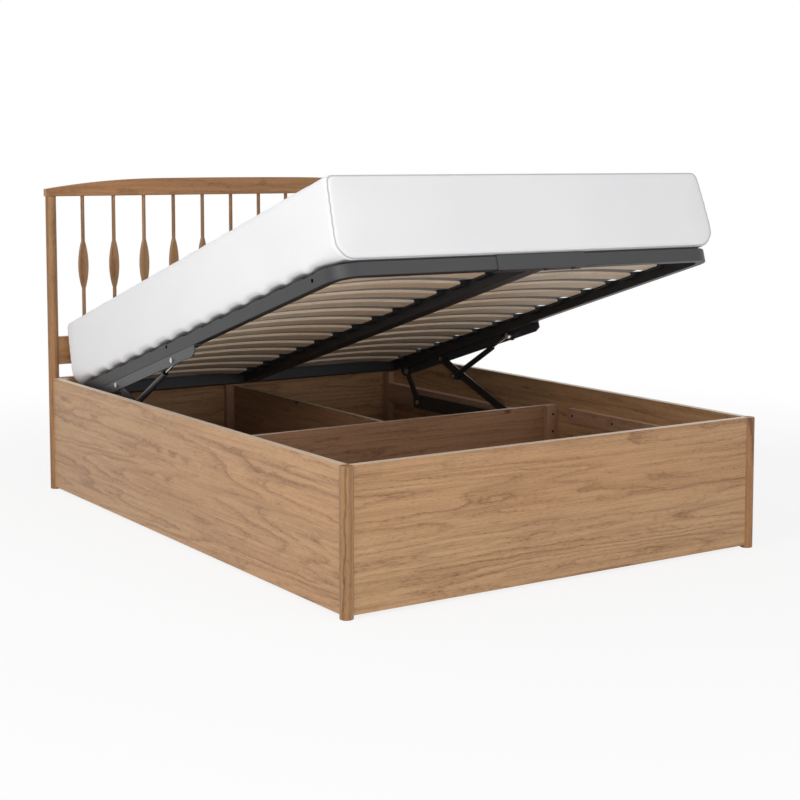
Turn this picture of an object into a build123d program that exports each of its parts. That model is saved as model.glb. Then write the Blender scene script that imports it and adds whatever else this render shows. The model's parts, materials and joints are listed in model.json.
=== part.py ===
from build123d import *
from math import atan2, cos, degrees, hypot, radians, sin
import os

os.makedirs("parts", exist_ok=True)

# Double ottoman bed, drawn with its platform raised as far as it goes.
# Millimetres, +Z up. The origin is on the floor, midway between the four corner posts.
# +Y runs to the headboard. Left is the -X side, as seen from the foot of the bed.

# Box of the bed
bed_width = 1430.0  # over the side panels
post_pitch_y = 1982.5  # foot post centres to head post centres
panel_t = 22.0
panel_h = 387.0
floor_gap = 9.0  # the panels stop this far above the floor, on the post ends
post_r = 18.5
post_inset = 9.0  # post centre, in from the outer faces of the panels
post_play = 0.5  # keeps apart the ends of two panels let into one post
post_edge = 1.5

# Headboard
head_post_top = 1036.0
rail_overhang = 21.0  # top rail, beyond the post centres
rail_depth = 27.0
rail_end_h = 26.0
rail_mid_h = 63.0
rail_flat_half = 300.0  # half length of the flatter middle of the top curve
rail_flat_drop = 1.5
rail_edge_r = 2.5
lower_rail_z = 443.0
lower_rail_h = 98.0
lower_rail_t = 22.0
spindle_count = 11
spindle_r = 6.65
paddle_z = 789.0  # widest point of the paddle
paddle_up = 86.0  # from there to the upper neck
paddle_down = 79.0  # and to the lower neck
paddle_w = 37.0
paddle_t = 14.0
paddle_bevel = 4.0

# Storage floor and dividers
floor_cleat = 20.0
floor_board_t = 6.0
board_play = 0.5
divider_t = 18.0
divider_y = -79.25  # middle of the cross divider
cross_divider_top = 321.0
long_divider_top = 319.0
head_batten_w = 32.0
head_batten_t = 20.0
divider_batten_w = 50.0
corner_block_w = 25.0
corner_block_y = 45.0
rear_cleat_t = 33.0
rear_cleat_h = 69.0
rear_cleat_z = 212.0
cleat_end_gap = 2.5
front_cleat_t = 25.0
front_cleat_h = 45.0
front_cleat_y0 = -960.25
front_cleat_y1 = -185.25
screw_r = 4.0
screw_t = 1.5

# Lift mechanism: pivots as (Y, Z) with the platform raised
open_tilt = 16.7
arm_foot = (78.55, 243.9)
main_pivot = (546.75, 418.0)
rear_foot = (702.95, 231.8)
rear_pivot_s = -244.2
rear_pivot_h = -1.8
strut_top_s = 448.4
strut_top_h = -2.0
strut_foot_along = 383.5
strut_foot_below = 16.6
bracket_t = 4.0
arm_t = 5.0
arm_r = 15.0
arm_tip_r = 11.5  # smaller upper end, clear of the lift bracket's flange
arm_taper = 45.0
rear_tip_r = 12.2
arm_gap = 0.3
pin_r = 5.0
pin_fit = 0.06  # radial clearance of a turning pin
cap_r = 8.0
bolt_head_r = 9.0
bolt_head_t = 5.0
nut_t = 4.5
pin_in_wood = 16.0
rear_bolt_r = 4.0
rear_hole_r = 9.0  # wide hole, hidden by a washer
washer_r = 13.0
washer_t = 3.0
strut_in = 20.0  # strut centre line, in from the outer faces of the platform
eye_t = 10.0
eye_r = 10.0
cylinder_r = 10.0
cylinder_bore_r = 8.2
cylinder_l = 270.0
cylinder_end = 24.0
rod_r = 4.0
rod_l = 165.0
base_bracket_h = 53.0
base_bracket_y0 = 54.75
base_bracket_y1 = 739.75
lift_bracket_s0 = -290.0
lift_bracket_s1 = 610.0
lift_bracket_low = -17.0
lift_flange_t = 3.0

# Platform, in its own frame: s runs to the foot from the main pivots, h up from them
tube_w = 30.0
tube_h = 38.0
tube_wall = 2.0
tube_edge = 1.5
tube_z = 15.0  # underside of the tubes
tube_head_s = -350.0
tube_foot_s = 1504.0
bend_r = 75.0
head_bar_s = -330.0
rail_tube_w = 28.0
sleeve_half = 155.0
sleeve_wall = 2.0
slat_count = 14
slat_w = 63.0
slat_t = 8.0
slat_rise = 15.0
slat_h = 44.0
slat_first_s = 1400.0
slat_pitch = 127.0
slat_end_gap = 4.0
slat_inner_x = 30.0
slat_fit = 0.3
holder_reach = 24.0
holder_half = 33.0
holder_lip = 3.8
holder_lip_w = 26.0
holder_floor = 3.5
mattress_edge = 5.0  # the mattress overhangs the tubes by this much at each side
mattress_s0 = -370.0
mattress_s1 = 1510.0
mattress_z = 57.0
mattress_t = 231.0
mattress_r = 28.0
joint_gap = 0.5

# Places that follow from the sizes above
half_w = bed_width / 2
inner_x = half_w - panel_t
post_x = half_w - post_inset
post_y = post_pitch_y / 2
panel_z0 = floor_gap
panel_z1 = floor_gap + panel_h
let_in = panel_t - post_inset + post_play
foot_out_y = -post_y - post_inset
foot_in_y = foot_out_y + panel_t
head_in_y = post_y - panel_t / 2
head_out_y = post_y + panel_t / 2
board_z0 = floor_gap + floor_cleat
board_z1 = board_z0 + floor_board_t
divider_y0 = divider_y - divider_t / 2
divider_y1 = divider_y + divider_t / 2
side_x = inner_x - rear_cleat_t
arm_x1 = side_x - bracket_t - arm_gap
arm_x0 = arm_x1 - arm_t
nut_x1 = arm_x0 - arm_gap
nut_x0 = nut_x1 - nut_t
strut_x = side_x - strut_in
eye_x0 = strut_x - eye_t / 2
eye_x1 = strut_x + eye_t / 2
tube_top = tube_z + tube_h
tube_in_x = side_x - tube_w
bend_s = tube_foot_s - bend_r
bend_x = side_x - bend_r
tilt = radians(open_tilt)
platform_place = Location((0, main_pivot[0], main_pivot[1]), (-open_tilt, 0, 0))


def block(x0, x1, y0, y1, z0, z1):
    """Box between two corners."""
    middle = Pos((x0 + x1) / 2, (y0 + y1) / 2, (z0 + z1) / 2)
    return middle * Box(x1 - x0, y1 - y0, z1 - z0)


def bar_x(x0, x1, y, z, r):
    """Round bar along X."""
    return Pos((x0 + x1) / 2, y, z) * Rot(0, 90, 0) * Cylinder(r, x1 - x0)


def hex_x(x0, x1, y, z, r):
    """Hexagon head or nut along X."""
    return extrude(Plane.YZ.offset(x0) * Pos(y, z) * RegularPolygon(r, 6), x1 - x0)


def pair(piece):
    """A right-hand piece and its mirror image."""
    return [piece, mirror(piece, about=Plane.YZ)]


def group(pieces):
    """Several solids as one shape."""
    found = []
    for piece in pieces:
        found.extend(piece.solids())
    return Compound(found)


def on_platform(s, h):
    """World (Y, Z) of a point given in the platform's own frame."""
    y = main_pivot[0] - s * cos(tilt) + h * sin(tilt)
    z = main_pivot[1] + s * sin(tilt) + h * cos(tilt)
    return (y, z)


def plate(outline, x0, thick):
    """Flat plate across X, from an outline drawn in (Y, Z)."""
    return extrude(Plane.YZ.offset(x0) * outline, thick)


def disc(point, r):
    """Round outline at a point."""
    return Pos(point[0], point[1]) * Circle(r)


def capsule(a, b, r):
    """Outline of a link with round ends."""
    return make_hull((disc(a, r) + disc(b, r)).edges())


# Pivots, seen from the side
arm_angle = atan2(main_pivot[1] - arm_foot[1], main_pivot[0] - arm_foot[0])
strut_foot_y = arm_foot[0] + strut_foot_along * cos(arm_angle) + strut_foot_below * sin(arm_angle)
strut_foot_z = arm_foot[1] + strut_foot_along * sin(arm_angle) - strut_foot_below * cos(arm_angle)
strut_foot = (strut_foot_y, strut_foot_z)
strut_top = on_platform(strut_top_s, strut_top_h)
rear_pivot = on_platform(rear_pivot_s, rear_pivot_h)


def box_inside():
    """Corner of the space inside the panels, which the posts leave free."""
    return block(inner_x - post_r, inner_x, foot_in_y, head_in_y, panel_z0, panel_z1)


def side_panel():
    """Right-hand side panel, its ends let into the posts."""
    end = post_y - let_in
    return block(inner_x, half_w, -end, end, panel_z0, panel_z1)


def foot_panel():
    """Panel across the foot."""
    end = post_x - let_in
    return block(-end, end, foot_out_y, foot_in_y, panel_z0, panel_z1)


def head_panel():
    """Panel across the head, under the headboard."""
    end = post_x - let_in
    return block(-end, end, head_in_y, head_out_y, panel_z0, panel_z1)


def lower_rail():
    """Broad lower rail of the headboard."""
    end = post_x - let_in
    half = lower_rail_t / 2
    rail = block(-end, end, post_y - half, post_y + half, lower_rail_z, lower_rail_z + lower_rail_h)
    return fillet(rail.edges().filter_by(Axis.X), rail_edge_r)


def foot_post():
    """Right-hand foot post, notched for the two panels."""
    post = Pos(post_x, -post_y, panel_z1 / 2) * Cylinder(post_r, panel_z1)
    post = chamfer(post.edges().filter_by(GeomType.CIRCLE), post_edge)
    return post - side_panel() - foot_panel() - box_inside()


def head_post():
    """Right-hand head post, notched for two panels and the lower rail."""
    post = Pos(post_x, post_y, head_post_top / 2) * Cylinder(post_r, head_post_top)
    lowest = post.edges().filter_by(GeomType.CIRCLE).sort_by(Axis.Z)[0]
    post = chamfer(lowest, post_edge)
    return post - side_panel() - head_panel() - box_inside() - lower_rail()


def top_rail():
    """Curved top rail: a flatter middle arc between two end arcs."""
    z0 = head_post_top
    end_x = post_x + rail_overhang
    low = z0 + rail_end_h
    peak = z0 + rail_mid_h
    shoulder = peak - rail_flat_drop
    slope = 2 * rail_flat_drop / rail_flat_half
    outline = [
        Line((-end_x, z0), (end_x, z0)),
        Line((end_x, z0), (end_x, low)),
        TangentArc((rail_flat_half, shoulder), (end_x, low), tangent=(1, -slope)),
        ThreePointArc((-rail_flat_half, shoulder), (0, peak), (rail_flat_half, shoulder)),
        TangentArc((-rail_flat_half, shoulder), (-end_x, low), tangent=(-1, -slope)),
        Line((-end_x, low), (-end_x, z0)),
    ]
    face = Plane.XZ.offset(-post_y - rail_depth / 2) * make_face(outline)
    rail = extrude(face, rail_depth)
    sides = rail.edges().group_by(Axis.Y)
    return chamfer(sides[0] + sides[-1], rail_edge_r)


def spindle(x):
    """Round spindle that swells into a flat paddle with bevelled edges."""
    foot = lower_rail_z + lower_rail_h
    neck0 = paddle_z - paddle_down
    neck1 = paddle_z + paddle_up
    half = paddle_w / 2
    outline = [
        Line((-spindle_r, neck0), (spindle_r, neck0)),
        TangentArc((half, paddle_z), (spindle_r, neck0), tangent=(0, -1)),
        TangentArc((half, paddle_z), (spindle_r, neck1), tangent=(0, 1)),
        Line((spindle_r, neck1), (-spindle_r, neck1)),
        TangentArc((-half, paddle_z), (-spindle_r, neck1), tangent=(0, 1)),
        TangentArc((-half, paddle_z), (-spindle_r, neck0), tangent=(0, -1)),
    ]
    paddle = extrude(Plane.XZ.offset(-paddle_t / 2) * make_face(outline), paddle_t)
    paddle = chamfer(paddle.edges().filter_by(GeomType.CIRCLE), paddle_bevel)
    lower = Pos(0, 0, (foot + neck0) / 2) * Cylinder(spindle_r, neck0 - foot)
    upper = Pos(0, 0, (neck1 + head_post_top) / 2) * Cylinder(spindle_r, head_post_top - neck1)
    return Pos(x, post_y, 0) * (lower + paddle + upper)


def floor_cleats():
    """Square cleats round the box and under the joints of the floor boards."""
    z0 = panel_z0
    z1 = board_z0
    c = floor_cleat
    rows = pair(block(inner_x - c, inner_x, foot_in_y, head_in_y, z0, z1))
    rows.append(block(-inner_x + c, inner_x - c, foot_in_y, foot_in_y + c, z0, z1))
    rows.append(block(-inner_x + c, inner_x - c, head_in_y - c, head_in_y, z0, z1))
    rows.append(block(-inner_x + c, inner_x - c, divider_y - c / 2, divider_y + c / 2, z0, z1))
    rows.append(block(-c / 2, c / 2, divider_y + c / 2, head_in_y - c, z0, z1))
    return group(rows)


def floor_board(x0, x1, y0, y1):
    """Thin board on the cleats."""
    return block(x0, x1, y0, y1, board_z0, board_z1)


def cross_divider():
    """Board across the middle of the storage."""
    return block(-inner_x, inner_x, divider_y0, divider_y1, board_z1, cross_divider_top)


def lengthwise_divider():
    """Board from the cross divider to the head panel."""
    half = divider_t / 2
    return block(-half, half, divider_y1, head_in_y, board_z1, long_divider_top)


def divider_battens():
    """Battens that hold the cross divider to the side panels, and one on the head panel."""
    side = block(inner_x - divider_batten_w, inner_x, divider_y0 - divider_t, divider_y0, board_z1,
                 cross_divider_top)
    x1 = -divider_t / 2
    head = block(x1 - head_batten_w, x1, head_in_y - head_batten_t, head_in_y, board_z1,
                 long_divider_top)
    return group(pair(side) + [head])


def corner_blocks():
    """Blocks in the two head corners."""
    return group(pair(block(inner_x - corner_block_w, inner_x, head_in_y - corner_block_y, head_in_y,
                            board_z1, panel_z1 - 2)))


def rear_cleats():
    """Thick cleats that carry the lift mechanism, bored for its bolts."""
    y1 = head_in_y - corner_block_y - cleat_end_gap
    cleat = block(side_x, inner_x, divider_y1, y1, rear_cleat_z, rear_cleat_z + rear_cleat_h)
    for point in (arm_foot, rear_foot):
        cleat -= bar_x(side_x, side_x + pin_in_wood, point[0], point[1], pin_r)
    return group(pair(cleat))


def front_cleats():
    """Cleats on the side panels of the front storage."""
    z1 = cross_divider_top
    return group(pair(block(inner_x - front_cleat_t, inner_x, front_cleat_y0, front_cleat_y1,
                            z1 - front_cleat_h, z1)))


def wood_screws():
    """Visible screw heads in the battens and the front cleats."""
    heads = []
    face_y = divider_y0 - divider_t - screw_t / 2
    for z in (cross_divider_top - 30, cross_divider_top - 90):
        place = Pos(inner_x - divider_batten_w / 2, face_y, z) * Rot(90, 0, 0)
        head = place * Cylinder(screw_r, screw_t)
        heads += pair(head)
    x1 = inner_x - front_cleat_t
    for y in (front_cleat_y1 - 25, front_cleat_y1 - 230):
        heads += pair(bar_x(x1 - screw_t, x1, y, cross_divider_top - front_cleat_h / 2, screw_r))
    return group(heads)


def base_bracket():
    """Steel angle under and against the rear cleat."""
    z0 = rear_cleat_z - bracket_t
    upright = block(side_x - bracket_t, side_x, base_bracket_y0, base_bracket_y1, z0,
                    z0 + base_bracket_h)
    flange = block(side_x, inner_x - 3, base_bracket_y0, base_bracket_y1, z0, rear_cleat_z)
    bracket = upright + flange
    for point in (arm_foot, rear_foot):
        bracket -= bar_x(side_x - bracket_t, side_x, point[0], point[1], pin_r)
    return bracket


def base_pivot_bolts():
    """Bolts on which the long arms and the rear arms turn."""
    bolts = []
    for point in (arm_foot, rear_foot):
        shank = bar_x(nut_x1, side_x + pin_in_wood, point[0], point[1], pin_r)
        head = hex_x(nut_x0, nut_x1, point[0], point[1], bolt_head_r)
        bolts += pair(shank + head)
    return group(bolts)


def long_arm():
    """Long arm with a lug below it for the foot of the strut."""
    along = (cos(arm_angle), sin(arm_angle))
    neck = (main_pivot[0] - arm_taper * along[0], main_pivot[1] - arm_taper * along[1])
    tip = make_hull((disc(neck, arm_r) + disc(main_pivot, arm_tip_r)).edges())
    outline = capsule(arm_foot, neck, arm_r) + tip
    before = (strut_foot[0] - 45 * along[0], strut_foot[1] - 45 * along[1] + 12)
    after = (strut_foot[0] + 35 * along[0], strut_foot[1] + 35 * along[1] + 12)
    lug = make_hull((disc(strut_foot, arm_r - 2) + disc(before, 4) + disc(after, 4)).edges())
    arm = plate(outline + lug, arm_x0, arm_t)
    for point in (arm_foot, main_pivot):
        arm -= bar_x(arm_x0, arm_x1, point[0], point[1], pin_r + pin_fit)
    return arm - bar_x(arm_x0, arm_x1, strut_foot[0], strut_foot[1], pin_r)


def strut_pin():
    """Pin fixed in the long arm, for the foot of the strut."""
    y = strut_foot[0]
    z = strut_foot[1]
    shank = bar_x(eye_x0 - arm_gap, arm_x1, y, z, pin_r)
    collar = hex_x(eye_x1 + arm_gap, arm_x0, y, z, cap_r)
    cap = hex_x(eye_x0 - arm_gap - washer_t, eye_x0 - arm_gap, y, z, cap_r)
    return shank + collar + cap


def rear_arm():
    """Short rear arm with a wide upper hole."""
    outline = make_hull((disc(rear_foot, arm_r) + disc(rear_pivot, rear_tip_r)).edges())
    arm = plate(outline, arm_x0, arm_t)
    arm -= bar_x(arm_x0, arm_x1, rear_foot[0], rear_foot[1], pin_r + pin_fit)
    return arm - bar_x(arm_x0, arm_x1, rear_pivot[0], rear_pivot[1], rear_hole_r)


def strut_axis(piece):
    """Put a piece drawn along local Z on the line of the strut, from its foot."""
    rise = degrees(atan2(strut_top[1] - strut_foot[1], strut_foot[0] - strut_top[0]))
    return Location((strut_x, strut_foot[0], strut_foot[1]), (90 - rise, 0, 0)) * piece


def strut_length():
    """Distance between the two eyes with the platform raised."""
    return hypot(strut_top[0] - strut_foot[0], strut_top[1] - strut_foot[1])


def strut_cylinder():
    """Gas strut cylinder, open at the rod end."""
    body = Pos(0, 0, (cylinder_end + cylinder_l) / 2) * Cylinder(cylinder_r, cylinder_l - cylinder_end)
    neck = Pos(0, 0, cylinder_end / 2) * Cylinder(rod_r + 0.4, cylinder_end)
    eye = Rot(0, 90, 0) * Cylinder(eye_r, eye_t)
    bore_l = cylinder_l - cylinder_end - 10
    bore = Pos(0, 0, cylinder_l - bore_l / 2) * Cylinder(cylinder_bore_r, bore_l)
    hole = Rot(0, 90, 0) * Cylinder(pin_r + pin_fit, eye_t)
    return strut_axis(body + neck + eye - bore - hole)


def strut_rod():
    """Piston rod and its upper eye."""
    top = strut_length()
    rod = Pos(0, 0, top - rod_l / 2) * Cylinder(rod_r, rod_l)
    eye = Pos(0, 0, top) * Rot(0, 90, 0) * Cylinder(eye_r, eye_t)
    hole = Pos(0, 0, top) * Rot(0, 90, 0) * Cylinder(pin_r + pin_fit, eye_t)
    return strut_axis(rod + eye - hole)


def tube_section(wide, tall):
    """Rectangular tube section with eased corners, open inside."""
    outer = chamfer(Rectangle(wide, tall).vertices(), tube_edge)
    return outer - Rectangle(wide - 2 * tube_wall, tall - 2 * tube_wall)


def side_tube():
    """Right-hand tube: along the side, round the foot corner, to the middle of the foot."""
    section = tube_section(tube_w, tube_h)
    mid_h = tube_z + tube_h / 2
    across = Plane.XZ.offset(bend_s) * Pos(side_x - tube_w / 2, mid_h) * section
    straight = extrude(across, -(bend_s - tube_head_s))
    corner = revolve(across, Axis((bend_x, -bend_s, 0), (0, 0, -1)), 90)
    along = Plane.YZ.offset(bend_x) * Pos(-tube_foot_s + tube_w / 2, mid_h) * section
    foot = extrude(along, -(bend_x - joint_gap / 2))
    return straight + corner + foot


def foot_sleeve():
    """Sleeve over the joint of the two tubes at the foot."""
    mid_h = tube_z + tube_h / 2
    inner = chamfer(Rectangle(tube_w, tube_h).vertices(), tube_edge)
    ring = Rectangle(tube_w + 2 * sleeve_wall, tube_h + 2 * sleeve_wall) - inner
    face = Plane.YZ.offset(-sleeve_half) * Pos(-tube_foot_s + tube_w / 2, mid_h) * ring
    return extrude(face, 2 * sleeve_half)


def head_bar():
    """Tube across the head end of the platform."""
    mid_h = tube_z + tube_h / 2
    section = tube_section(tube_w, tube_h)
    face = Plane.YZ.offset(-tube_in_x) * Pos(-head_bar_s - tube_w / 2, mid_h) * section
    return extrude(face, 2 * tube_in_x)


def centre_rail():
    """Two tubes side by side down the middle."""
    s0 = head_bar_s + tube_w
    s1 = tube_foot_s - tube_w - sleeve_wall
    section = tube_section(rail_tube_w, tube_h)
    face = Plane.XZ.offset(s1) * Pos(rail_tube_w / 2, tube_z + tube_h / 2) * section
    return group(pair(extrude(face, -(s1 - s0))))


def lift_bracket():
    """Steel angle under the side tube that carries the three upper pivots."""
    s0 = lift_bracket_s0
    s1 = lift_bracket_s1
    low = lift_bracket_low
    outline = make_face(Polyline((-s0, tube_z), (-s1, tube_z), (-s1, low + 10), (-s1 + 22, low),
                                 (-s0 - 16, low), (-s0, low + 14), close=True))
    pivots = ((0, 0), (-strut_top_s, strut_top_h), (-rear_pivot_s, rear_pivot_h))
    for point in pivots:
        outline += disc(point, -low + 1.5)
    outline -= Pos(-(s0 + s1) / 2, tube_z + 25) * Rectangle(s1 - s0 + 100, 50)
    upright = plate(outline, side_x - bracket_t, bracket_t)
    flange = block(tube_in_x, side_x - bracket_t, -s1, -s0, tube_z - lift_flange_t, tube_z)
    bracket = upright + flange
    radii = (pin_r, pin_r, rear_bolt_r)
    for point, r in zip(pivots, radii):
        bracket -= bar_x(side_x - bracket_t, side_x, point[0], point[1], r)
    return bracket


def platform_pivot_bolts():
    """Bolts in the lift brackets for the arms and the struts."""
    head_x = side_x + bolt_head_t
    main = bar_x(nut_x0, side_x, 0, 0, pin_r)
    main += hex_x(side_x, head_x, 0, 0, bolt_head_r)
    main += hex_x(nut_x0, nut_x1, 0, 0, bolt_head_r)
    y = -strut_top_s
    z = strut_top_h
    strut = bar_x(eye_x0 - arm_gap, side_x, y, z, pin_r)
    strut += hex_x(side_x, head_x, y, z, bolt_head_r)
    strut += hex_x(eye_x1 + arm_gap, side_x - bracket_t, y, z, cap_r)
    strut += hex_x(eye_x0 - arm_gap - washer_t, eye_x0 - arm_gap, y, z, cap_r)
    y = -rear_pivot_s
    z = rear_pivot_h
    rear = bar_x(nut_x1 - washer_t - nut_t, side_x, y, z, rear_bolt_r)
    rear += hex_x(side_x, head_x - 1, y, z, cap_r)
    rear += bar_x(nut_x1 - washer_t, nut_x1, y, z, washer_r)
    rear += hex_x(nut_x1 - washer_t - nut_t, nut_x1 - washer_t, y, z, cap_r - 1)
    return group(pair(main) + pair(strut) + pair(rear))


def slat_arc(lift):
    """Three points of the bowed slat line, raised by lift."""
    x0 = slat_inner_x
    x1 = tube_in_x - slat_end_gap
    z = slat_h + lift
    return (x0, z), ((x0 + x1) / 2, z + slat_rise), (x1, z)


def slat_outline(low, high):
    """Bowed strip between two heights above the slat line."""
    a0, a1, a2 = slat_arc(low)
    b0, b1, b2 = slat_arc(high)
    return make_face([ThreePointArc(a0, a1, a2), Line(a2, b2), ThreePointArc(b2, b1, b0), Line(b0, a0)])


def slat_row():
    """Right-hand row of bowed slats."""
    row = []
    for i in range(slat_count):
        s = slat_first_s - i * slat_pitch
        face = Plane.XZ.offset(s - slat_w / 2) * slat_outline(0, slat_t)
        row.append(extrude(face, slat_w))
    return group(row)


def slat_holders():
    """Plastic holders on the tubes and on the centre rail."""
    low = slat_h - holder_floor
    top = tube_top + holder_lip
    x1 = tube_in_x - joint_gap
    x0 = tube_in_x - holder_reach
    mid = slat_inner_x + holder_reach
    near = rail_tube_w + joint_gap
    found = []
    for i in range(slat_count):
        y = -(slat_first_s - i * slat_pitch)
        y0 = y - holder_half
        y1 = y + holder_half
        slot_w = slat_w + 2 * slat_fit
        face = Plane.XZ.offset(-y - slot_w / 2) * slat_outline(0, slat_t + slat_fit)
        slot = extrude(face, slot_w)
        side = block(x0, x1, y0, y1, low, top)
        side += block(x1, tube_in_x + holder_lip_w, y0, y1, tube_top, top)
        side -= slot
        centre = block(-mid, mid, y0, y1, low, top)
        centre -= block(-near, near, y0, y1, low, tube_top)
        for cut in pair(slot):
            centre -= cut
        found += pair(side)
        found.append(centre)
    return group(found)


def frame_bolts():
    """Bolt heads under the foot sleeve and under the centre rail."""
    found = []
    under = tube_z - sleeve_wall
    head = extrude(RegularPolygon(7, 6), 3)
    for x in (-130, 22, 120):
        found.append(Pos(x, -tube_foot_s + tube_w / 2, under - 3) * head)
    found.append(Pos(0, -(head_bar_s + tube_w + 330), tube_z - 3) * head)
    return group(found)


def mattress():
    """Sprung mattress, shaped underneath by the bowed slats."""
    half = side_x + mattress_edge
    body = block(-half, half, -mattress_s1, -mattress_s0, mattress_z, mattress_z + mattress_t)
    body = fillet(body.edges(), mattress_r)
    face = Plane.XZ.offset(slat_first_s - slat_count * slat_pitch + 80) * slat_outline(-15, slat_t)
    groove = extrude(face, slat_count * slat_pitch - 40)
    for cut in pair(groove):
        body -= cut
    return body


nodes = {}
nodes["headboard_top_rail"] = top_rail()
nodes["headboard_lower_rail"] = lower_rail()
nodes["head_post_right"], nodes["head_post_left"] = pair(head_post())
spindle_pitch = 2 * post_x / (spindle_count + 1)
for i in range(spindle_count):
    nodes[f"spindle_{i + 1:02d}"] = spindle(-post_x + spindle_pitch * (i + 1))
nodes["head_panel"] = head_panel()
nodes["side_panel_right"], nodes["side_panel_left"] = pair(side_panel())
nodes["foot_panel"] = foot_panel()
nodes["foot_post_right"], nodes["foot_post_left"] = pair(foot_post())
nodes["cross_divider"] = cross_divider()
nodes["lengthwise_divider"] = lengthwise_divider()
nodes["divider_battens"] = divider_battens()
nodes["corner_blocks"] = corner_blocks()
nodes["rear_cleats"] = rear_cleats()
nodes["front_cleats"] = front_cleats()
nodes["floor_cleats"] = floor_cleats()
board_x = inner_x - board_play
nodes["floor_board_foot"] = floor_board(-board_x, board_x, foot_in_y + board_play, divider_y)
nodes["floor_board_head_left"] = floor_board(-board_x, 0, divider_y, head_in_y - board_play)
nodes["floor_board_head_right"] = floor_board(0, board_x, divider_y, head_in_y - board_play)
nodes["wood_screws"] = wood_screws()
nodes["base_bracket_right"], nodes["base_bracket_left"] = pair(base_bracket())
nodes["base_pivot_bolts"] = base_pivot_bolts()
nodes["long_arm_right"], nodes["long_arm_left"] = pair(long_arm())
nodes["strut_pin_right"], nodes["strut_pin_left"] = pair(strut_pin())
nodes["rear_arm_right"], nodes["rear_arm_left"] = pair(rear_arm())
nodes["strut_cylinder_right"], nodes["strut_cylinder_left"] = pair(strut_cylinder())
nodes["strut_rod_right"], nodes["strut_rod_left"] = pair(strut_rod())
platform = {}
platform["side_tube_right"], platform["side_tube_left"] = pair(side_tube())
platform["foot_sleeve"] = foot_sleeve()
platform["head_bar"] = head_bar()
platform["centre_rail"] = centre_rail()
platform["lift_bracket_right"], platform["lift_bracket_left"] = pair(lift_bracket())
platform["platform_pivot_bolts"] = platform_pivot_bolts()
platform["slats_right"], platform["slats_left"] = pair(slat_row())
platform["slat_holders"] = slat_holders()
platform["frame_bolts"] = frame_bolts()
platform["mattress"] = mattress()
for name, shape in platform.items():
    nodes[name] = group([platform_place * shape])

for name, shape in nodes.items():
    export_step(shape, f"parts/{name}.step")
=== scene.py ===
import json
import math

import bmesh
import bpy
import numpy as np
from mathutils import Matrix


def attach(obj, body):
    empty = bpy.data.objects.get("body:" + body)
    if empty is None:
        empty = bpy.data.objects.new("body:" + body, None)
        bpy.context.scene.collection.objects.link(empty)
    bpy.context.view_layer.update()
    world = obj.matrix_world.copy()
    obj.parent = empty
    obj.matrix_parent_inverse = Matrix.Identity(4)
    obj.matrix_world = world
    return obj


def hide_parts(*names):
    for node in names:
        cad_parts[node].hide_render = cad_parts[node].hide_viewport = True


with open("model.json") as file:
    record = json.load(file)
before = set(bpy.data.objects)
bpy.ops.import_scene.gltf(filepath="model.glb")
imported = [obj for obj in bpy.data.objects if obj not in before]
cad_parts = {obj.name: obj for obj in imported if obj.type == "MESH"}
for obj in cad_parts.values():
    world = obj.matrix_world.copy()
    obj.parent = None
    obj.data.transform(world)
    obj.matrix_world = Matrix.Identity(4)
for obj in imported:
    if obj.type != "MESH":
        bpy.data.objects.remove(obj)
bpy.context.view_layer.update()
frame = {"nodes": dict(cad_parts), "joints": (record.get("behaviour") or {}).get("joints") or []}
nodes = frame["nodes"]


# The view of the bed: from the left of its foot end, standing height, slightly down.
# The lens is drawn down a little, so that the posts stay nearly upright in the picture.
lens_data = bpy.data.cameras.new("camera")
lens_data.lens = 73.03
lens_data.sensor_width = 36.0
lens_data.shift_x = -0.00114
lens_data.shift_y = -0.12
camera = bpy.data.objects.new("camera", lens_data)
camera.location = (-2.81059, -4.44205, 1.16271)
camera.rotation_euler = (math.radians(90 - 5.0691), 0, math.radians(-33.334))
bpy.context.scene.collection.objects.link(camera)
bpy.context.scene.camera = camera


# The room: a pale floor that runs out of sight, a white surround and soft lamps.
# The surround and the floor are white to the eye, and the bed's shadow stays on the floor.
def put(tree, kind, inputs=(), **settings):
    """Adds a node, with its settings, and fills its inputs with values or with other nodes' outputs."""
    made = tree.nodes.new(kind)
    for key, value in settings.items():
        setattr(made, key, value)
    for key, value in dict(inputs).items():
        if isinstance(value, bpy.types.NodeSocket):
            tree.links.new(value, made.inputs[key])
        else:
            made.inputs[key].default_value = value
    return made


def tone(red, green, blue):
    """A screen colour from 0 to 255 as linear light, with alpha."""
    c = np.array((red, green, blue)) / 255
    linear = np.where(c <= 0.04045, c / 12.92, ((c + 0.055) / 1.055) ** 2.4)
    return (*map(float, linear), 1.0)


room = bpy.data.worlds.new("room")
bpy.context.scene.world = room
room.use_nodes = True
sky = room.node_tree
sky.nodes.clear()
ray = put(sky, "ShaderNodeLightPath").outputs
seen = put(sky, "ShaderNodeMath", {0: ray["Is Camera Ray"], 1: ray["Is Glossy Ray"]}, operation="MAXIMUM")
seen = put(sky, "ShaderNodeMath", {0: seen.outputs[0], 1: ray["Is Transmission Ray"]}, operation="MAXIMUM")
soft = put(sky, "ShaderNodeBackground", {"Color": (1, 1, 1, 1), "Strength": 0.4})
white = put(sky, "ShaderNodeBackground", {"Color": (1, 1, 1, 1), "Strength": 1.0})
both = put(sky, "ShaderNodeMixShader", {0: seen.outputs[0], 1: soft.outputs[0], 2: white.outputs[0]})
put(sky, "ShaderNodeOutputWorld", {"Surface": both.outputs[0]})

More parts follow.
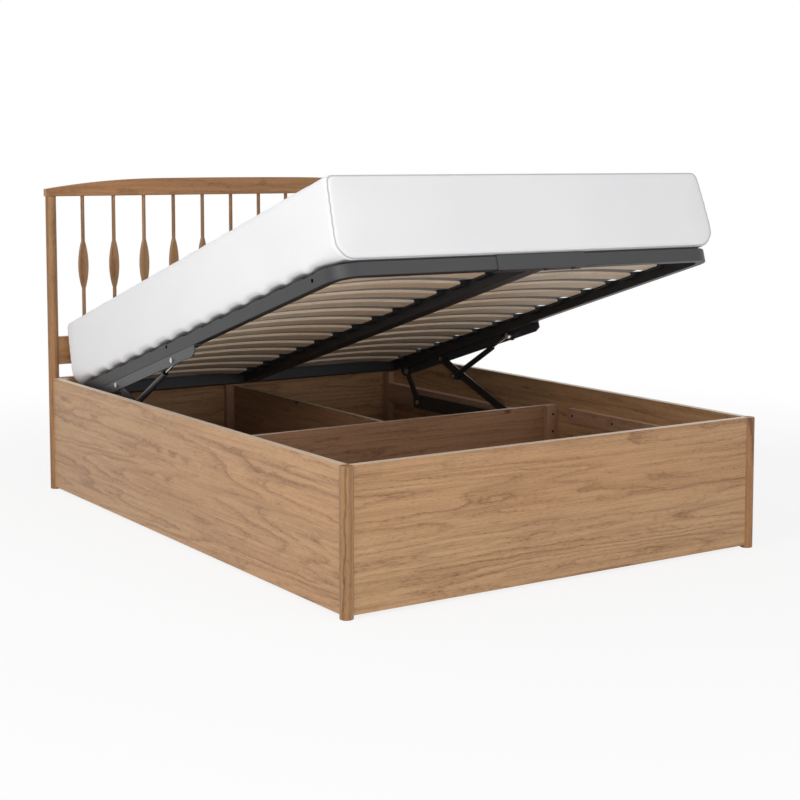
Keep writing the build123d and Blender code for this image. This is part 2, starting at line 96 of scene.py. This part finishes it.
floor_mesh = bpy.data.meshes.new("studio_floor")
floor_mesh.from_pydata([(-30, -30, 0), (30, -30, 0), (30, 30, 0), (-30, 30, 0)], [], [(0, 1, 2, 3)])
floor = bpy.data.objects.new("studio_floor", floor_mesh)
bpy.context.scene.collection.objects.link(floor)
paint = bpy.data.materials.new("floor_paint")
paint.use_nodes = True
tree = paint.node_tree
tree.nodes.clear()
matt = put(tree, "ShaderNodeBsdfDiffuse", {"Color": (0.88, 0.88, 0.88, 1)})
glow = put(tree, "ShaderNodeEmission", {"Color": (1, 1, 1, 1), "Strength": 1.0})
ray = put(tree, "ShaderNodeLightPath").outputs
seen = put(tree, "ShaderNodeMath", {0: ray["Is Camera Ray"], 1: ray["Is Glossy Ray"]}, operation="MAXIMUM")
seen = put(tree, "ShaderNodeMath", {0: seen.outputs[0], 1: ray["Is Transmission Ray"]}, operation="MAXIMUM")
spot = put(tree, "ShaderNodeTexCoord").outputs["Object"]
far = put(tree, "ShaderNodeVectorMath", {0: spot}, operation="LENGTH").outputs["Value"]
fade = {"Value": far, "From Min": 1.6, "From Max": 3.6, "To Min": 0.84, "To Max": 1.0}
fade = put(tree, "ShaderNodeMapRange", fade, interpolation_type="SMOOTHSTEP").outputs[0]
share = put(tree, "ShaderNodeMath", {0: seen.outputs[0], 1: fade}, operation="MULTIPLY")
both = put(tree, "ShaderNodeMixShader", {0: share.outputs[0], 1: matt.outputs[0], 2: glow.outputs[0]})
put(tree, "ShaderNodeOutputMaterial", {"Surface": both.outputs[0]})
floor_mesh.materials.append(paint)


def lamp(name, place, aim, size, power):
    """A square soft lamp at a place, turned towards a point."""
    data = bpy.data.lights.new(name, "AREA")
    data.size = size
    data.energy = power
    made = bpy.data.objects.new(name, data)
    made.location = place
    back = np.array(place, float) - np.array(aim, float)
    lean_back = math.atan2(math.hypot(back[0], back[1]), back[2])
    made.rotation_euler = (lean_back, 0, math.atan2(back[0], -back[1]))
    bpy.context.scene.collection.objects.link(made)


lamp("lamp_left", (-4.5, -1.6, 3.0), (0, 0, 0.5), 3.0, 117)
lamp("lamp_foot", (1.6, -5.0, 2.4), (0, 0, 0.5), 2.6, 38)
lamp("lamp_low", (-2.2, -5.0, 0.65), (0, 0, 0.6), 1.4, 46)
lamp("lamp_above", (-0.5, 1.0, 4.8), (0, 0, 0.5), 3.0, 22)


# Oak of the headboard: posts, curved top rail, broad lower rail and the turned, flattened
# spindles. Solid oak, clear satin lacquer; the spindles are glued into both rails.
def along_across(tree, axis):
    """Place on the piece, split into the way the grain runs and the two ways across it."""
    spot = put(tree, "ShaderNodeTexCoord").outputs["Object"]
    split = put(tree, "ShaderNodeSeparateXYZ", {0: spot}).outputs
    order = {"X": (0, 1, 2), "Y": (1, 0, 2), "Z": (2, 0, 1)}[axis]
    return [split[i] for i in order]


def maths(tree, kind, a, b=0.0, c=0.0):
    """One sum on two or three numbers."""
    return put(tree, "ShaderNodeMath", {0: a, 1: b, 2: c}, operation=kind).outputs[0]


def stretched(tree, along, over, up, scales, seed, detail=2.0, rough=0.5, warp=0.0):
    """Noise drawn out along the grain: place times one scale for each way."""
    parts = [maths(tree, "MULTIPLY", v, s) for v, s in zip((along, over, up), scales)]
    spot = put(tree, "ShaderNodeCombineXYZ", {0: parts[0], 1: parts[1], 2: parts[2]}).outputs[0]
    given = {"Vector": spot, "W": seed, "Scale": 1.0, "Detail": detail, "Roughness": rough,
             "Distortion": warp}
    return put(tree, "ShaderNodeTexNoise", given, noise_dimensions="4D").outputs[0]


def grey(level):
    """A grey of a level from 0 to 1, in linear light."""
    return level, level, level, 1


def ramp(tree, value, stops):
    """Colour that changes through (position, colour) stops."""
    made = put(tree, "ShaderNodeValToRGB", {0: value})
    points = made.color_ramp.elements
    while len(points) < len(stops):
        points.new(0.5)
    for point, (place, colour) in zip(points, stops):
        point.position = place
        point.color = colour
    return made.outputs[0]


def blended(tree, kind, share, first, second):
    """Two colours mixed, multiplied or lightened by a share."""
    made = put(tree, "ShaderNodeMix", {0: share, 6: first, 7: second}, data_type="RGBA", blend_type=kind)
    return made.outputs[2]


def oak(name, axis, pale, deep, red, strip=0.0, rings=22.0, ring_share=0.5, top=None, knots=0.0,
        rough=0.42):
    """Oak. Growth rings are level lines of a noise drawn out along the grain, which gives the long
    cathedral arches, and a finer noise makes them sway. Pores are short dark ticks gathered on the
    rings. Each piece, and each strip of a veneered board, starts at its own place in the noise."""
    made = bpy.data.materials.new(name)
    made.use_nodes = True
    tree = made.node_tree
    tree.nodes.clear()
    along, over, up = along_across(tree, axis)
    whole = maths(tree, "MULTIPLY", put(tree, "ShaderNodeObjectInfo").outputs["Random"], 60.0)
    board = whole
    if strip:
        step = maths(tree, "FLOOR", maths(tree, "DIVIDE", maths(tree, "ADD", up, 0.031), strip))
        board = maths(tree, "ADD", board, maths(tree, "MULTIPLY", step, 7.31))
    broad = stretched(tree, along, over, up, (0.34, 6.5, 6.5), board, 2.2, 0.45, 0.1)
    sway = stretched(tree, along, over, up, (7.0, 16.0, 16.0), board, 3.0, 0.6)
    count = maths(tree, "MULTIPLY_ADD", broad, rings, maths(tree, "MULTIPLY", sway, 1.5))
    ring = maths(tree, "FRACT", count)
    line = ramp(tree, ring, [(0.0, grey(0.2)), (0.12, grey(0.95)), (0.3, grey(0.45)),
                             (0.75, grey(0.05)), (1.0, grey(0.2))])
    broken = stretched(tree, along, over, up, (2.2, 30.0, 30.0), board, 2.0, 0.6)
    line = maths(tree, "MULTIPLY", line, ramp(tree, broken, [(0.35, grey(0.25)), (0.62, grey(1))]))
    fibre = stretched(tree, along, over, up, (5.0, 260.0, 260.0), board, 3.0, 0.65)
    fleck = stretched(tree, along, over, up, (60.0, 380.0, 380.0), board, 1.0, 0.5)
    patch = stretched(tree, along, over, up, (0.5, 3.5, 3.5), whole, 2.0, 0.5)
    streak = stretched(tree, along, over, up, (1.3, 60.0, 60.0), board, 3.0, 0.65)
    colour = blended(tree, "MIX", maths(tree, "MULTIPLY", line, ring_share), pale, deep)
    colour = blended(tree, "MIX", ramp(tree, patch, [(0.4, grey(0)), (0.7, grey(0.6))]), colour,
                     blended(tree, "MULTIPLY", 0.6, colour, red))
    colour = blended(tree, "MIX", ramp(tree, streak, [(0.48, grey(0)), (0.72, grey(0.42))]), colour, deep)
    pore = ramp(tree, fleck, [(0.53, grey(0)), (0.62, grey(1))])
    pore = maths(tree, "MULTIPLY", pore, maths(tree, "MULTIPLY_ADD", line, 0.85, 0.22))
    grain = ramp(tree, fibre, [(0.3, (0.84, 0.83, 0.81, 1)), (0.7, (1.09, 1.09, 1.09, 1))])
    colour = blended(tree, "MULTIPLY", 1.0, colour, grain)
    colour = blended(tree, "MIX", maths(tree, "MULTIPLY", pore, 0.58), colour,
                     blended(tree, "MULTIPLY", 1.0, deep, red))
    if knots:
        cell = [maths(tree, "MULTIPLY", v, s) for v, s in zip((along, over, up), (5.0, 0.0, 9.0))]
        cell = put(tree, "ShaderNodeCombineXYZ", {0: cell[0], 1: cell[1], 2: cell[2]}).outputs[0]
        near = put(tree, "ShaderNodeTexVoronoi", {"Vector": cell, "Scale": 1.0, "Randomness": 1.0})
        dot = ramp(tree, near.outputs["Distance"], [(0.035, grey(1)), (0.11, grey(0))])
        some = ramp(tree, near.outputs["Color"], [(0.45, grey(0)), (0.5, grey(1))])
        dot = maths(tree, "MULTIPLY", dot, maths(tree, "MULTIPLY", some, knots))
        colour = blended(tree, "MIX", dot, colour, tone(62, 42, 30))
    # Faces that look up take the top colour: a painted highlight on the upper edges.
    if top:
        face = put(tree, "ShaderNodeNewGeometry").outputs["Normal"]
        lift = put(tree, "ShaderNodeSeparateXYZ", {0: face}).outputs[2]
        lift = ramp(tree, lift, [(0.8, grey(0)), (0.9, grey(1))])
        colour = blended(tree, "MIX", lift, colour, top)
    gloss = maths(tree, "MULTIPLY_ADD", fibre, 0.16, rough - 0.08)
    height = maths(tree, "MULTIPLY_ADD", pore, -0.7, maths(tree, "MULTIPLY", fibre, 0.35))
    bump = put(tree, "ShaderNodeBump", {"Strength": 0.25, "Distance": 0.0005, "Height": height}).outputs[0]
    shade = put(tree, "ShaderNodeBsdfPrincipled", {"Base Color": colour, "Roughness": gloss, "Normal": bump})
    shade.inputs["Specular IOR Level"].default_value = 0.35
    put(tree, "ShaderNodeOutputMaterial", {"Surface": shade.outputs[0]})
    return made


def finish_with(material, *names):
    """Gives the named pieces one finish in every material slot."""
    for name in names:
        mesh = nodes[name].data
        mesh.materials.clear()
        mesh.materials.append(material)


post_pale = tone(168, 128, 88)
post_deep = tone(92, 60, 34)
warm = tone(232, 196, 160)
rail_oak = oak("oak_rail", "X", tone(176, 132, 90), tone(124, 84, 50), warm, rings=12, rough=0.4)
post_oak = oak("oak_post", "Z", post_pale, post_deep, warm, rings=16, ring_share=0.8, rough=0.4)
finish_with(rail_oak, "headboard_top_rail", "headboard_lower_rail")
finish_with(post_oak, "head_post_right", "head_post_left", "foot_post_right", "foot_post_left")
spindle_oak = oak("oak_spindle", "Z", tone(160, 122, 84), tone(104, 70, 42), warm, rings=14,
                  ring_share=0.8, rough=0.4)
finish_with(spindle_oak, *[f"spindle_{i:02d}" for i in range(1, 12)])


# The four panels of the box: boards faced with oak veneer laid in wide strips, grain level,
# with a painted highlight on the up-facing top edges. Their ends are let into the posts.
panel_pale = tone(192, 154, 115)
panel_deep = tone(122, 84, 54)
panel_red = tone(240, 206, 176)
top_highlight = tone(226, 206, 184)
foot_veneer, side_veneer = (
    oak(name, axis, panel_pale, panel_deep, panel_red, strip=0.129, ring_share=0.62, top=top_highlight)
    for name, axis in (("oak_veneer_cross", "X"), ("oak_veneer_long", "Y")))
finish_with(foot_veneer, "foot_panel", "head_panel")
finish_with(side_veneer, "side_panel_left", "side_panel_right")


# The storage floor and its dividers: thin boards on square cleats, and two upright boards.
# Darker, knotty oak finish, with a painted highlight on the up-facing top edges.
board_pale = tone(166, 130, 100)
board_deep = tone(106, 76, 55)
board_red = tone(230, 200, 184)
cross_board, long_board = (
    oak(name, axis, board_pale, board_deep, board_red, strip=0.16, top=top_highlight, knots=0.8)
    for name, axis in (("divider_cross", "X"), ("divider_long", "Y")))
base_board = oak("floor_board", "X", board_pale, board_deep, board_red, knots=0.5)
finish_with(cross_board, "cross_divider")
finish_with(long_board, "lengthwise_divider")
finish_with(base_board, "floor_board_foot", "floor_board_head_left", "floor_board_head_right")


# Battens, blocks and cleats: planed softwood strips screwed and glued to the boards.
# They carry the dividers, the floor and the lift mechanism.
batten_pale = tone(184, 148, 122)
batten_deep = tone(142, 108, 86)
batten_top_highlight = tone(214, 178, 156)
# Their up-facing faces take a lighter tone: a painted highlight.
upright = oak("batten_upright", "Z", batten_pale, batten_deep, warm, rings=6, top=batten_top_highlight, rough=0.55)
level = oak("cleat_level", "Y", batten_pale, batten_deep, warm, rings=6, top=batten_top_highlight, rough=0.55)
finish_with(upright, "divider_battens", "corner_blocks")
finish_with(level, "rear_cleats", "front_cleats", "floor_cleats")


# The lift mechanism: pressed steel angles and flat arms in black powder coat on plated bolts,
# with a gas strut at each side, a black cylinder and a bright piston rod.
def coated(name, colour, rough, grain=0.6, holes=(), hole_r=0.006):
    """Powder coat: an even dark colour with a very fine orange-peel surface and faint rubs, and
    round holes at the given places, alike on the left and right, painted black as their shade."""
    made = bpy.data.materials.new(name)
    made.use_nodes = True
    tree = made.node_tree
    tree.nodes.clear()
    spot = put(tree, "ShaderNodeTexCoord").outputs["Object"]
    peel = put(tree, "ShaderNodeTexNoise", {"Vector": spot, "Scale": 900.0, "Detail": 2.0}).outputs[0]
    given = {"Vector": spot, "Scale": 14.0, "Detail": 5.0, "Roughness": 0.65}
    rub = put(tree, "ShaderNodeTexNoise", given).outputs[0]
    worn = ramp(tree, rub, [(0.35, grey(0.85)), (0.75, grey(1.25))])
    base = blended(tree, "MULTIPLY", 1.0, colour, worn)
    shine = 0.6
    sides = put(tree, "ShaderNodeVectorMath", {0: spot}, operation="ABSOLUTE").outputs[0]
    # Each hole is a black disc without shine: painted shade for the dark inside of the hole.
    for hole in holes:
        away = put(tree, "ShaderNodeVectorMath", {0: sides, 1: hole}, operation="DISTANCE").outputs["Value"]
        hole_shade = maths(tree, "LESS_THAN", away, hole_r)
        base = blended(tree, "MIX", hole_shade, base, tone(2, 2, 2))
        shine = maths(tree, "MULTIPLY", shine, maths(tree, "SUBTRACT", 1.0, hole_shade))
    gloss = maths(tree, "MULTIPLY_ADD", rub, 0.2, rough - 0.1)
    given = {"Strength": 0.2 * grain, "Distance": 0.0004, "Height": peel}
    bump = put(tree, "ShaderNodeBump", given).outputs[0]
    given = {"Base Color": base, "Roughness": gloss, "Normal": bump, "Specular IOR Level": shine}
    shade = put(tree, "ShaderNodeBsdfPrincipled", given)
    put(tree, "ShaderNodeOutputMaterial", {"Surface": shade.outputs[0]})
    return made


def plated(name, colour, rough):
    """Bright metal with a slight cloudiness."""
    made = bpy.data.materials.new(name)
    made.use_nodes = True
    tree = made.node_tree
    tree.nodes.clear()
    spot = put(tree, "ShaderNodeTexCoord").outputs["Object"]
    cloud = put(tree, "ShaderNodeTexNoise", {"Vector": spot, "Scale": 160.0, "Detail": 3.0}).outputs[0]
    gloss = maths(tree, "MULTIPLY_ADD", cloud, 0.2, rough - 0.1)
    tint = ramp(tree, cloud, [(0.3, grey(0.85)), (0.7, grey(1))])
    base = blended(tree, "MULTIPLY", 1.0, colour, tint)
    shade = put(tree, "ShaderNodeBsdfPrincipled", {"Base Color": base, "Roughness": gloss})
    shade.inputs["Metallic"].default_value = 1.0
    put(tree, "ShaderNodeOutputMaterial", {"Surface": shade.outputs[0]})
    return made


black_coat = coated("steel_black_coat", tone(44, 45, 47), 0.4)
grey_coat = coated("steel_grey_coat", tone(56, 57, 59), 0.42)
bolt_zinc = plated("bolt_zinc", tone(205, 208, 210), 0.3)
rod_chrome = plated("rod_chrome", tone(225, 226, 228), 0.14)
finish_with(grey_coat, "base_bracket_left", "base_bracket_right", "lift_bracket_left", "lift_bracket_right")
finish_with(black_coat, "long_arm_left", "long_arm_right", "rear_arm_left", "rear_arm_right",
            "strut_cylinder_left", "strut_cylinder_right")
finish_with(bolt_zinc, "base_pivot_bolts", "platform_pivot_bolts", "strut_pin_left", "strut_pin_right")
finish_with(plated("screw_black", tone(60, 52, 48), 0.45), "wood_screws")
finish_with(rod_chrome, "strut_rod_left", "strut_rod_right")


# The platform: square tube bent round the foot corners, a sleeve over the joint, a head bar
# and a double centre rail, in black powder coat, with moulded slat holders.
tilt = math.radians(16.7)  # of the raised platform
lift = next(j for j in frame["joints"] if j["name"] == "platform_lift")


def on_platform(x, s, h):
    """Points given across, from the main pivots towards the foot, and up from the platform, as
    places in the room: both ways along the bed are turned by the tilt of the raised platform."""
    y = lift["pos_m"][1] - s * math.cos(tilt) + h * math.sin(tilt)
    z = lift["pos_m"][2] + s * math.sin(tilt) + h * math.cos(tilt)
    return np.stack([x, y, z], axis=-1)


# Two holes in the outer face of each tube, drawn as painted shade: black discs.
tube_face = np.full(2, 0.660)
hole_places = np.abs(on_platform(tube_face, np.array([0.4195, 1.3611]), np.array([0.046, 0.038])))
tube_coat = coated("steel_tube_coat", tone(35, 36, 38), 0.5, holes=hole_places.tolist())
holder_black = coated("holder_plastic", tone(30, 30, 31), 0.5, grain=1.0)
finish_with(tube_coat, "side_tube_left", "side_tube_right", "foot_sleeve", "head_bar", "centre_rail",
            "frame_bolts")
finish_with(holder_black, "slat_holders")


# The slats: two rows of fourteen bowed slats of glued beech veneers, sanded and clear coated,
# pushed into the holders.
beech = oak("slat_beech", "X", tone(250, 232, 208), tone(226, 200, 172), tone(250, 236, 222), rings=5,
            ring_share=0.35, rough=0.5)
finish_with(beech, "slats_left", "slats_right")


# The mattress: a deep block in a fitted white cover, sewn with a seam round each end.
# It lies on the slats and sinks a little between them.
def surface(name, grid, material, body):
    """A smooth closed mesh from rows of points: each row wraps round, and rows that fall on one
    another or shrink to a line are welded there."""
    rows, cols = grid.shape[:2]
    index = np.arange(rows * cols).reshape(rows, cols)
    index = np.concatenate([index, index[:, :1]], axis=1)
    corners = index[:-1, :-1], index[:-1, 1:], index[1:, 1:], index[1:, :-1]
    faces = np.stack([c.ravel() for c in corners], axis=1)
    mesh = bpy.data.meshes.new(name)
    mesh.from_pydata(grid.reshape(-1, 3).tolist(), [], faces.tolist())
    bm = bmesh.new()
    bm.from_mesh(mesh)
    bmesh.ops.remove_doubles(bm, verts=bm.verts, dist=1e-6)
    bmesh.ops.recalc_face_normals(bm, faces=bm.faces)
    bm.to_mesh(mesh)
    bm.free()
    mesh.polygons.foreach_set("use_smooth", np.full(len(mesh.polygons), True))
    made = bpy.data.objects.new(name, mesh)
    bpy.context.scene.collection.objects.link(made)
    mesh.materials.append(material)
    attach(made, body)
    return made


def outline(half, low, high, r_low, r_high, count):
    """Round-cornered section, at even steps of arc length once round it from the middle of the
    underside: straight lines and quarter circles, of one radius below and one above."""
    angles = np.linspace(0, math.pi / 2, 13)
    rise, run = np.sin(angles), np.cos(angles)
    lower = np.stack([half - r_low + r_low * rise, low + r_low - r_low * run], 1)
    upper = np.stack([half - r_high + r_high * run, high - r_high + r_high * rise], 1)
    right = np.concatenate([[[0.0, low]], lower, upper, [[0.0, high]]])
    left = right[-2:0:-1] * (-1, 1)
    loop = np.concatenate([right, left, right[:1]])
    reach = np.concatenate([[0], np.cumsum(np.hypot(*np.diff(loop, axis=0).T))])
    at = np.linspace(0, reach[-1], count, endpoint=False)
    return np.interp(at, reach, loop[:, 0]), np.interp(at, reach, loop[:, 1])


def fabric(name, colour):
    """White cover cloth: a fine over-and-under weave from two crossing waves, soft creases and a
    faint uneven tone, with painted shade, a grey tone, where it faces down on the slats."""
    made = bpy.data.materials.new(name)
    made.use_nodes = True
    tree = made.node_tree
    tree.nodes.clear()
    spot = put(tree, "ShaderNodeTexCoord").outputs["Object"]
    split = put(tree, "ShaderNodeSeparateXYZ", {0: spot}).outputs
    warp = maths(tree, "SINE", maths(tree, "MULTIPLY", split[0], 4200.0))
    rise = maths(tree, "ADD", maths(tree, "MULTIPLY", split[1], 0.7), split[2])
    weft = maths(tree, "SINE", maths(tree, "MULTIPLY", rise, 4200.0))
    weave = maths(tree, "MULTIPLY", warp, weft)
    given = {"Vector": spot, "Scale": 5.0, "Detail": 4.0, "Roughness": 0.5, "Distortion": 0.6}
    crease = put(tree, "ShaderNodeTexNoise", given).outputs[0]
    cloud = put(tree, "ShaderNodeTexNoise", {"Vector": spot, "Scale": 3.0, "Detail": 3.0}).outputs[0]
    shade = ramp(tree, cloud, [(0.3, (0.965, 0.965, 0.97, 1)), (0.7, (1.0, 1.0, 1.0, 1))])
    base = blended(tree, "MULTIPLY", 1.0, colour, shade)
    # Faces that look down towards the slats take a grey tone: painted shade under the mattress.
    facing = put(tree, "ShaderNodeTexCoord").outputs["Normal"]
    straight_down = (0, -math.sin(tilt), -math.cos(tilt))
    down = put(tree, "ShaderNodeVectorMath", {0: facing, 1: straight_down}, operation="DOT_PRODUCT")
    underside_shade = ramp(tree, down.outputs["Value"], [(0.86, grey(0)), (0.95, grey(1))])
    base = blended(tree, "MIX", underside_shade, base, tone(134, 128, 124))
    fine = put(tree, "ShaderNodeBump", {"Strength": 0.15, "Distance": 0.0003, "Height": weave}).outputs[0]
    given = {"Strength": 0.3, "Distance": 0.006, "Height": crease, "Normal": fine}
    bump = put(tree, "ShaderNodeBump", given).outputs[0]
    skin = put(tree, "ShaderNodeBsdfPrincipled", {"Base Color": base, "Normal": bump})
    skin.inputs["Roughness"].default_value = 0.85
    skin.inputs["Specular IOR Level"].default_value = 0.2
    skin.inputs["Sheen Weight"].default_value = 0.15
    put(tree, "ShaderNodeOutputMaterial", {"Surface": skin.outputs[0]})
    return made


half, low, high = 0.665, 0.057, 0.288  # half the width, underside and top above the platform
head_s, foot_s = -0.370, 1.510
mid_h = (low + high) / 2
end_r = 0.016  # round edge between an end panel and the sides
end_x, end_h = outline(half, low, high, 0.055, 0.018, 350)
mid_x, mid_up = outline(half, low, high, 0.026, 0.018, 350)
slat_first, slat_pitch = 1.400, 0.127
slat_in, slat_long, slat_top = 0.030, 0.596, 0.0525


def eased(value):
    """From 0 to 1 with level ends: three squares less two cubes."""
    value = np.clip(value, 0, 1)
    return value * value * (3 - 2 * value)


def cover(s, pull):
    """The filled cover, a row of section points for each place down its length. The section is
    drawn in by the pull at the ends, where its lower corners are rounder. The top is crowned by a
    parabola, the sides belly out, and the right side leans in towards the top. The underside dips
    between the slats and lifts over their bow, and its rim lifts clear of the tubes, on the left
    only over the holders."""
    s, pull = np.reshape(s, (-1, 1)), np.reshape(pull, (-1, 1))
    to_end = np.minimum(s - head_s, foot_s - s)
    run = np.clip((s - head_s) / (foot_s - head_s), 0, 1)
    ends = 1 - (2 * run - 1) ** 8
    full = eased(to_end / 0.16)
    x = end_x + (mid_x - end_x) * full
    h = end_h + (mid_up - end_h) * full
    kx = (half - pull) / half
    kh = np.maximum((high - mid_h - pull) / (high - mid_h), 0.0)
    px = x * kx
    ph = mid_h + (h - mid_h) * kh
    across = 1 - (px / half) ** 2
    tall = np.clip((ph - low) / (high - low), 0, 1)
    side = (np.abs(px) / half) ** 6 * 4 * tall * (1 - tall)
    lean = np.clip(px / half, -0.2, 1) * 0.022 * tall ** 1.7
    px = px + np.sign(px) * side * (0.004 * ends) - lean
    crease = np.sin(31 * s + 5 * px) * np.sin(17 * s - 9 * px + 2) + np.sin(53 * s + 23 * px + 1)
    ph = ph + tall ** 3 * (0.005 * across * ends + 0.0006 * crease * ends)
    between = 0.5 - 0.5 * np.cos(2 * math.pi * (s - slat_first) / slat_pitch)
    under = np.clip(1 - tall * 5, 0, 1)
    row = np.clip((np.abs(px) - slat_in) / slat_long, 0, 1)
    bow = slat_top + 0.060 * row * (1 - row)
    rest = np.maximum(bow + 0.0006 - low, 0.0)
    sag = 0.003 * between * (row > 0.06) * (np.abs(px) < 0.628)
    rim = 0.012 * eased((np.abs(px) - 0.600) / 0.055) * (1 - 0.7 * between ** 3 * (px < 0))
    slatted = (s > -0.29) & (s < 1.43)
    ph = ph + under * (slatted * (rest - sag) + rim * full)
    pucker = np.exp(-to_end / 0.03) * 0.0009
    px = px + np.sign(px) * pucker * np.sin(210 * ph) * (kx > 0.96)
    return on_platform(px, s + 0 * px, ph)


turn = np.linspace(0, math.pi / 2, 7)
flat = np.linspace((high - low) / 2 - end_r, 0.0, 12)[:-1]
inset = np.concatenate([flat + end_r, end_r * (1 - np.sin(turn))])
belly = 0.005 * np.sin(flat / flat[0] * math.pi / 2)
step = np.concatenate([-belly, end_r * (1 - np.cos(turn))])
length = np.linspace(head_s + end_r, foot_s - end_r, 226)[1:-1]
stations = np.concatenate([head_s + step, length, (foot_s - step)[::-1]])
pulls = np.concatenate([inset, np.zeros(len(length)), inset[::-1]])
cloth = fabric("mattress_cover", tone(240, 240, 241))
mattress = surface("mattress_cover", cover(stations, pulls), cloth, "platform")
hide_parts("mattress")


# Piping of the cover: a thin cloth-covered cord sewn into the seam round each end panel, toned
# grey as painted shade of the seam. It lies half sunk on the rounded edge and shows as a fine dark line.
def cord_round(path, r, sides=8):
    """A tube round a closed path: a circle carried along it, square to the way it runs. The first
    circle comes again at the end, where the two are welded."""
    ahead = np.roll(path, -1, axis=0) - np.roll(path, 1, axis=0)
    ahead /= np.linalg.norm(ahead, axis=1)[:, None]
    out = np.cross(ahead, (0.0, math.cos(tilt), -math.sin(tilt)))
    out /= np.linalg.norm(out, axis=1)[:, None]
    other = np.cross(ahead, out)
    angle = np.linspace(0, 2 * math.pi, sides, endpoint=False)
    ring = out[:, None] * np.cos(angle)[None, :, None] + other[:, None] * np.sin(angle)[None, :, None]
    rings = path[:, None] + ring * r
    return np.concatenate([rings, rings[:1]])


cord_shade_cloth = fabric("piping_painted_shade", tone(196, 196, 198))
seam_in = 0.0045  # from the end and from the outline, half way round the rounded edge
for end, s in (("head", head_s + seam_in), ("foot", foot_s - seam_in)):
    seam = cover(s, seam_in)[0]
    piping = surface(f"mattress_piping_{end}", cord_round(seam, 0.002), cord_shade_cloth, "platform")


bpy.context.scene.view_settings.view_transform = "Standard"
